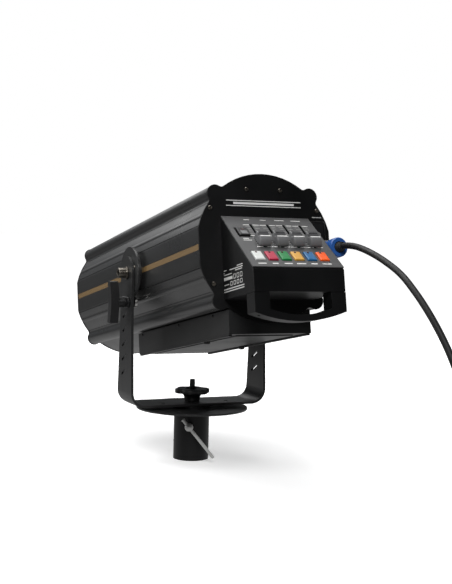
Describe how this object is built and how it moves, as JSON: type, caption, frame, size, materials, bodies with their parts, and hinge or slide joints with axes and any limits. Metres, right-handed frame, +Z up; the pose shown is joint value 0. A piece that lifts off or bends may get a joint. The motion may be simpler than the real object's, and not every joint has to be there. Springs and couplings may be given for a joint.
{
  "type": "follow spot",
  "caption": "Long ribbed follow spot with a sloped fader console and grip at the rear, on a slotted yoke with tilt clamps, a pan knob and a tube socket for a stand.",
  "frame": {"origin": "on the axis of the stand tube at its lower end", "axes": "+Z up along the stand tube, +Y the beam heading, +X to the operator's right"},
  "size_m": [0.3948, 1.1161, 0.4531],
  "materials": {
    "grey_paint": "fine texture powder coat, satin",
    "black_paint": "matt black powder coat",
    "panel_grey": "satin grey with printed scales",
    "black_plastic": "moulded, fine grain",
    "grey_plastic": "moulded, satin",
    "steel": "zinc plated",
    "aluminium": "mill finish",
    "rubber": "matt",
    "blue_plastic": "moulded, satin",
    "glass": "polished",
    "circuit_board": "solder mask",
    "white": "satin key",
    "red": "satin key",
    "green": "satin key",
    "yellow": "satin key",
    "blue": "satin key",
    "orange": "satin key"
  },
  "bodies": {
    "stand": {"stand_tube": "black_paint", "stand_disc": "grey_paint", "pan_stud": "steel", "friction_washer": "black_plastic"},
    "rear_screw": {"stand_screw_rear": "steel"},
    "rear_bar": {"t_bar_rear": "steel"},
    "front_screw": {"stand_screw_front": "steel"},
    "front_bar": {"t_bar_front": "steel"},
    "pan_grip": {"pan_knob": "black_plastic"},
    "yoke": {"yoke": "grey_paint", "left_pivot_bolt": "steel", "right_pivot_bolt": "steel", "left_clamp_shoe": "steel", "right_clamp_shoe": "steel", "cable_coil": "rubber", "mains_plug": "rubber"},
    "left_grip": {"left_tilt_knob": "black_plastic"},
    "right_grip": {"right_tilt_knob": "black_plastic"},
    "rocker": {"power_rocker": "black_plastic"},
    "latch": {"plug_latch": "steel"},
    "lamp_key": {"lamp_button": "panel_grey"},
    "fan": {"fan_rotor": "black_plastic"},
    "wheel": {"colour_wheel": "aluminium"},
    "iris": {"iris_ring": "steel"},
    "zoom": {"zoom_carriage": "black_paint", "zoom_lens": "glass"},
    "fader_1": {"fader_cap_1": "grey_plastic"},
    "fader_2": {"fader_cap_2": "grey_plastic"},
    "fader_3": {"fader_cap_3": "grey_plastic"},
    "fader_4": {"fader_cap_4": "grey_plastic"},
    "white_key": {"white_button": "white"},
    "red_key": {"red_button": "red"},
    "green_key": {"green_button": "green"},
    "yellow_key": {"yellow_button": "yellow"},
    "blue_key": {"blue_button": "blue"},
    "orange_key": {"orange_button": "orange"},
    "head": {"base_box": "grey_paint", "bottom_cover": "grey_paint", "cable_run": "rubber", "carry_handle": "black_paint", "console_panel": "panel_grey", "console_shell": "black_paint", "control_board": "circuit_board", "fan_frame": "black_plastic", "front_lens": "glass", "front_plate": "black_paint", "heat_sink": "aluminium", "led_board": "white", "left_side_panel": "grey_paint", "left_tilt_disc": "grey_paint", "lens_ring": "black_paint", "power_inlet": "black_plastic", "power_plug": "blue_plastic", "power_supply": "aluminium", "rear_plate": "black_paint", "right_side_panel": "grey_paint", "right_tilt_disc": "grey_paint", "top_cover": "grey_paint", "wheel_motor": "black_paint", "zoom_rails": "steel"}
  },
  "joints": [
    {"name": "pan", "type": "hinge", "parent": "stand", "child": "yoke", "pos_m": [0, 0, 0.0896], "axis": [0, 0, 1], "continuous": true},
    {"name": "pan_knob_turn", "type": "hinge", "parent": "stand", "child": "pan_grip", "pos_m": [0, 0, 0], "axis": [0, 0, 1], "range_deg": [0, 360]},
    {"name": "tilt", "type": "hinge", "parent": "yoke", "child": "head", "pos_m": [0, 0, 0.301], "axis": [1, 0, 0], "range_deg": [-27, 43]},
    {"name": "left_knob_turn", "type": "hinge", "parent": "yoke", "child": "left_grip", "pos_m": [0, 0, 0.255], "axis": [1, 0, 0], "range_deg": [-360, 0]},
    {"name": "right_knob_turn", "type": "hinge", "parent": "yoke", "child": "right_grip", "pos_m": [0, 0, 0.255], "axis": [1, 0, 0], "range_deg": [0, 360]},
    {"name": "rear_screw_turn", "type": "hinge", "parent": "stand", "child": "rear_screw", "pos_m": [-0.02019, -0.03797, 0.057], "axis": [-0.4695, -0.8829, 0], "range_deg": [-148, 68]},
    {"name": "rear_bar_slide", "type": "slide", "parent": "rear_screw", "child": "rear_bar", "axis": [-0.5675, 0.3018, 0.766], "range_m": [-0.0045, 0.009]},
    {"name": "front_screw_turn", "type": "hinge", "parent": "stand", "child": "front_screw", "pos_m": [0.02019, 0.03797, 0.057], "axis": [0.4695, 0.8829, 0], "range_deg": [-6, 68]},
    {"name": "front_bar_slide", "type": "slide", "parent": "front_screw", "child": "front_bar", "axis": [0.5675, -0.3018, 0.766], "range_m": [-0.0165, 0]},
    {"name": "fader_1_slide", "type": "slide", "parent": "head", "child": "fader_1", "axis": [0, 0.8509, 0.5253], "range_m": [-0.0086, 0.0436]},
    {"name": "fader_2_slide", "type": "slide", "parent": "head", "child": "fader_2", "axis": [0, 0.8509, 0.5253], "range_m": [-0.0086, 0.0436]},
    {"name": "fader_3_slide", "type": "slide", "parent": "head", "child": "fader_3", "axis": [0, 0.8509, 0.5253], "range_m": [-0.0086, 0.0436]},
    {"name": "fader_4_slide", "type": "slide", "parent": "head", "child": "fader_4", "axis": [0, 0.8509, 0.5253], "range_m": [-0.0086, 0.0436]},
    {"name": "white_key_press", "type": "slide", "parent": "head", "child": "white_key", "axis": [0, 0.5253, -0.8509], "range_m": [0, 0.0015], "stiffness_N_per_m": 300, "springref_m": -0.0006},
    {"name": "red_key_press", "type": "slide", "parent": "head", "child": "red_key", "axis": [0, 0.5253, -0.8509], "range_m": [0, 0.0015], "stiffness_N_per_m": 300, "springref_m": -0.0006},
    {"name": "green_key_press", "type": "slide", "parent": "head", "child": "green_key", "axis": [0, 0.5253, -0.8509], "range_m": [0, 0.0015], "stiffness_N_per_m": 300, "springref_m": -0.0006},
    {"name": "yellow_key_press", "type": "slide", "parent": "head", "child": "yellow_key", "axis": [0, 0.5253, -0.8509], "range_m": [0, 0.0015], "stiffness_N_per_m": 300, "springref_m": -0.0006},
    {"name": "blue_key_press", "type": "slide", "parent": "head", "child": "blue_key", "axis": [0, 0.5253, -0.8509], "range_m": [0, 0.0015], "stiffness_N_per_m": 300, "springref_m": -0.0006},
    {"name": "orange_key_press", "type": "slide", "parent": "head", "child": "orange_key", "axis": [0, 0.5253, -0.8509], "range_m": [0, 0.0015], "stiffness_N_per_m": 300, "springref_m": -0.0006},
    {"name": "lamp_key_press", "type": "slide", "parent": "head", "child": "lamp_key", "axis": [0, 0.5253, -0.8509], "range_m": [0, 0.0015], "stiffness_N_per_m": 300, "springref_m": -0.0006},
    {"name": "rocker_tip", "type": "hinge", "parent": "head", "child": "rocker", "pos_m": [0.0852, -0.25198, 0.37364], "axis": [1, 0, 0], "range_deg": [-11, 0]},
    {"name": "latch_slide", "type": "slide", "parent": "head", "child": "latch", "axis": [0, -0.9833, 0.1822], "range_m": [0, 0.003], "stiffness_N_per_m": 300, "springref_m": -0.001},
    {"name": "fan_spin", "type": "hinge", "parent": "head", "child": "fan", "pos_m": [0, -0.22418, 0.34255], "axis": [0, 0.9833, -0.1822], "continuous": true},
    {"name": "wheel_spin", "type": "hinge", "parent": "head", "child": "wheel", "pos_m": [0.0297, -0.10079, 0.28947], "axis": [0, 0.9833, -0.1822], "continuous": true},
    {"name": "iris_turn", "type": "hinge", "parent": "head", "child": "iris", "pos_m": [0, -0.07905, 0.31565], "axis": [0, 0.9833, -0.1822], "range_deg": [-35, 35]},
    {"name": "zoom_slide", "type": "slide", "parent": "head", "child": "zoom", "axis": [0, 0.9833, -0.1822], "range_m": [-0.11, 0.17]}
  ]
}
